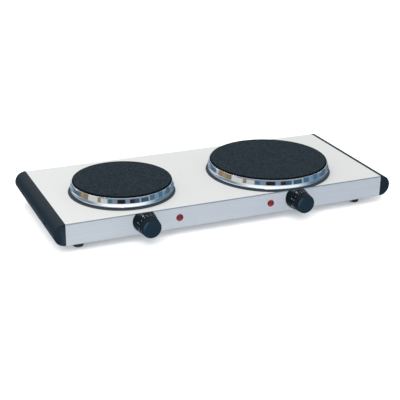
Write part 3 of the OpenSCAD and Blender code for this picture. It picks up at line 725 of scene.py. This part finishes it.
bm = bmesh.new()
bmesh.ops.create_grid(bm, x_segments=1, y_segments=1, size=8)
floor_mesh = bpy.data.meshes.new("floor")
bm.to_mesh(floor_mesh)
bm.free()
floor = bpy.data.objects.new("floor", floor_mesh)
bpy.context.scene.collection.objects.link(floor)
floor.location.z = -0.0002
pale = bpy.data.materials.new("pale floor")
pale.use_nodes = True
shader = pale.node_tree.nodes["Principled BSDF"]
shader.inputs["Base Color"].default_value = (0.86, 0.86, 0.86, 1)
shader.inputs["Roughness"].default_value = 0.9
shader.inputs["Specular IOR Level"].default_value = 0.0
shader.inputs["Emission Color"].default_value = (1, 1, 1, 1)
shader.inputs["Emission Strength"].default_value = 0.10
floor_mesh.materials.append(pale)
floor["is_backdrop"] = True

# Meshes stay out of reflections, so that the polished parts mirror the room alone
for thing in bpy.context.scene.objects:
    if thing.type == "MESH":
        thing.visible_glossy = False

# What the polished parts mirror: (azimuth in degrees from the front towards +X, colour)
ROOM = [
    (-180, (0.16, 0.25, 0.33)), (-163, (0.10, 0.13, 0.15)), (-155, (0.22, 0.34, 0.44)),
    (-141, (0.62, 0.68, 0.72)), (-133, (0.30, 0.22, 0.13)), (-127, (0.24, 0.19, 0.12)),
    (-120, (0.34, 0.26, 0.16)), (-112, (0.26, 0.20, 0.12)), (-104, (0.22, 0.18, 0.12)),
    (-98, (0.60, 0.62, 0.60)), (-74, (0.26, 0.19, 0.11)), (-67, (0.56, 0.58, 0.56)),
    (-52, (0.05, 0.13, 0.21)), (-42, (0.16, 0.24, 0.33)), (-30, (0.012, 0.012, 0.014)),
    (-13, (0.16, 0.26, 0.36)), (-3, (0.020, 0.020, 0.026)), (6, (0.03, 0.09, 0.15)),
    (17, (0.36, 0.42, 0.48)), (21, (0.03, 0.09, 0.15)), (38, (0.36, 0.42, 0.48)),
    (42, (0.06, 0.14, 0.22)), (54, (0.16, 0.26, 0.36)), (66, (0.07, 0.15, 0.24)),
    (78, (0.22, 0.34, 0.44)), (92, (0.03, 0.08, 0.12)), (106, (0.30, 0.42, 0.52)),
    (118, (0.04, 0.09, 0.13)), (132, (0.36, 0.46, 0.56)), (146, (0.02, 0.05, 0.08)),
    (162, (0.05, 0.10, 0.15)),
]
world = bpy.data.worlds.new("studio")
bpy.context.scene.world = world
world.use_nodes = True
tree = world.node_tree
tree.nodes.clear()


def add(kind, **settings):
    node = tree.nodes.new(kind)
    for key, value in settings.items():
        setattr(node, key, value)
    return node


def calc(operation, a, b=0.0, c=None):
    node = add("ShaderNodeMath", operation=operation)
    for spot, value in zip(node.inputs, (a, b, c)):
        if value is None:
            continue
        if isinstance(value, bpy.types.NodeSocket):
            tree.links.new(value, spot)
        else:
            spot.default_value = value
    return node.outputs[0]


def ramp(factor, stops, kind="LINEAR"):
    node = add("ShaderNodeValToRGB")
    node.color_ramp.interpolation = kind
    band = node.color_ramp.elements
    while len(band) < len(stops):
        band.new(0.5)
    for spot, (place, colour) in zip(band, stops):
        spot.position = place
        spot.color = (*colour, 1)
    tree.links.new(factor, node.inputs[0])
    return node.outputs[0]


def blend(factor, a, b):
    node = add("ShaderNodeMix", data_type="RGBA")
    tree.links.new(factor, node.inputs["Factor"])
    for spot, value in ((node.inputs[6], a), (node.inputs[7], b)):
        if isinstance(value, bpy.types.NodeSocket):
            tree.links.new(value, spot)
        else:
            spot.default_value = (*value, 1)
    return node.outputs[2]


def tinted(a, b):
    """One colour multiplied by another."""
    node = add("ShaderNodeMix", data_type="RGBA", blend_type="MULTIPLY")
    node.inputs["Factor"].default_value = 1.0
    tree.links.new(a, node.inputs[6])
    tree.links.new(b, node.inputs[7])
    return node.outputs[2]


WHITE = (1, 1, 1)
BLACK = (0, 0, 0)
BRIGHT = (1.6, 1.6, 1.6)

way = add("ShaderNodeSeparateXYZ")
tree.links.new(add("ShaderNodeTexCoord").outputs["Generated"], way.inputs[0])
x, y, z = way.outputs
turn = calc("ARCTAN2", x, calc("MULTIPLY", y, -1))
share = calc("MULTIPLY_ADD", turn, 1 / (2 * math.pi), 0.5)
room = ramp(share, [((a + 180) / 360, colour) for a, colour in ROOM], "CONSTANT")
height = calc("MULTIPLY_ADD", z, 0.5, 0.5)
sky = ramp(height, [
    (0.0, WHITE), (0.14, WHITE), (0.25, (0.80, 0.86, 0.93)), (0.36, (0.66, 0.74, 0.84)),
    (0.40, (0.10, 0.16, 0.22)), (0.47, (0.03, 0.07, 0.11)), (0.52, (0.30, 0.36, 0.44)),
    (0.60, (0.97, 0.98, 0.98)), (0.78, WHITE), (1.0, WHITE),
])
flanks = ramp(share, [
    (0.0, BLACK), (0.10, BLACK), (0.17, WHITE), (0.34, WHITE), (0.40, BLACK),
    (0.56, BLACK), (0.64, WHITE), (0.83, WHITE), (0.90, BLACK),
])
tall = ramp(height, [(0.0, BLACK), (0.58, BLACK), (0.62, WHITE), (0.80, WHITE), (0.90, BLACK)])
in_band = ramp(height, [(0.0, BLACK), (0.425, BLACK), (0.44, WHITE), (0.585, WHITE), (0.60, BLACK)])
over_band = ramp(height, [(0.0, BLACK), (0.585, BLACK), (0.60, WHITE), (0.67, WHITE), (0.70, BLACK)])
facing = ramp(share, [(0.0, BLACK), (0.13, BLACK), (0.17, WHITE), (0.83, WHITE), (0.87, BLACK)])
below = ramp(height, [(0.0, WHITE), (0.36, WHITE), (0.42, BLACK)])
steep = ramp(height, [(0.0, BRIGHT), (0.13, BRIGHT), (0.17, WHITE)])
table = ramp(share, [
    (0.0, (0.50, 0.56, 0.62)), (0.07, (0.42, 0.48, 0.54)), (0.12, (0.24, 0.30, 0.36)),
    (0.22, (0.22, 0.24, 0.26)), (0.27, (0.55, 0.60, 0.65)), (0.32, WHITE), (0.60, WHITE),
    (0.66, (0.40, 0.50, 0.60)), (0.70, (0.14, 0.20, 0.26)), (0.88, (0.16, 0.22, 0.28)),
    (0.94, (0.42, 0.48, 0.54)), (1.0, (0.50, 0.56, 0.62)),
])
seen = tinted(blend(below, sky, tinted(sky, table)), steep)
seen = blend(calc("MULTIPLY", flanks, tall), seen, (0.20, 0.28, 0.36))
seen = blend(calc("MULTIPLY", facing, over_band), seen, (0.24, 0.26, 0.34))
seen = blend(in_band, seen, room)
paths = add("ShaderNodeLightPath")
lit = blend(paths.outputs["Is Glossy Ray"], (1.0, 1.0, 1.0), seen)
lit = blend(paths.outputs["Is Camera Ray"], lit, (1.0, 1.0, 1.0))
background = add("ShaderNodeBackground")
tree.links.new(lit, background.inputs["Color"])
background.inputs["Strength"].default_value = 1.0
tree.links.new(background.outputs[0], add("ShaderNodeOutputWorld").inputs["Surface"])


def area_light(name, place, aim, size, power, mirrored=True):
    data = bpy.data.lights.new(name, "AREA")
    data.shape = "RECTANGLE"
    data.size, data.size_y = size
    data.energy = power
    light = bpy.data.objects.new(name, data)
    bpy.context.scene.collection.objects.link(light)
    light.location = place
    light.visible_glossy = mirrored
    light.rotation_euler = (Vector(aim) - Vector(place)).to_track_quat("-Z", "Y").to_euler()
    return light


area_light("back key", (-0.35, 1.1, 1.7), (0, 0, 0), (0.9, 0.5), 7)
floor_fill = area_light("floor fill", (-0.9, -2.0, 1.6), (0, 0, 0), (1.8, 1.5), 95, False)
only_floor = bpy.data.collections.new("lit by the floor fill")
only_floor.objects.link(floor)
floor_fill.light_linking.receiver_collection = only_floor

# The photograph's camera: its angles, focal length in pixels of a frame this wide, and place from the
# housing's front left deck corner in millimetres along its own right, up and backward directions
FRAME_PX = 400
FOCAL_PX = 992.007
SENSOR_MM = 36
EYE_RIGHT, EYE_UP, EYE_BACK = 179.865, 32.833, 1325.703
azimuth, elevation, roll = (math.radians(a) for a in (-23.536, 22.323, 0.773))
level = math.cos(elevation)
back = Vector((math.sin(azimuth) * level, -math.cos(azimuth) * level, math.sin(elevation)))
across = Vector((math.cos(azimuth), math.sin(azimuth), 0))
above = back.cross(across)
camera_x = across * math.cos(roll) + above * math.sin(roll)
camera_y = above * math.cos(roll) - across * math.sin(roll)
corner = Vector((housing_low.x, front_y, deck_z))
eye = corner + (camera_x * EYE_RIGHT + camera_y * EYE_UP + back * EYE_BACK) * MM
camera_data = bpy.data.cameras.new("camera")
camera_data.sensor_width = SENSOR_MM
camera_data.lens = FOCAL_PX * SENSOR_MM / FRAME_PX
camera_data.clip_start = 0.01
camera_data.clip_end = 50
camera = bpy.data.objects.new("camera", camera_data)
bpy.context.scene.collection.objects.link(camera)
camera.matrix_world = Matrix((
    (camera_x.x, camera_y.x, back.x, eye.x),
    (camera_x.y, camera_y.y, back.y, eye.y),
    (camera_x.z, camera_y.z, back.z, eye.z),
    (0, 0, 0, 1),
))
bpy.context.scene.camera = camera
bpy.context.scene.view_settings.view_transform = "Standard"
bpy.context.scene.view_settings.look = "None"

low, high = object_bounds()
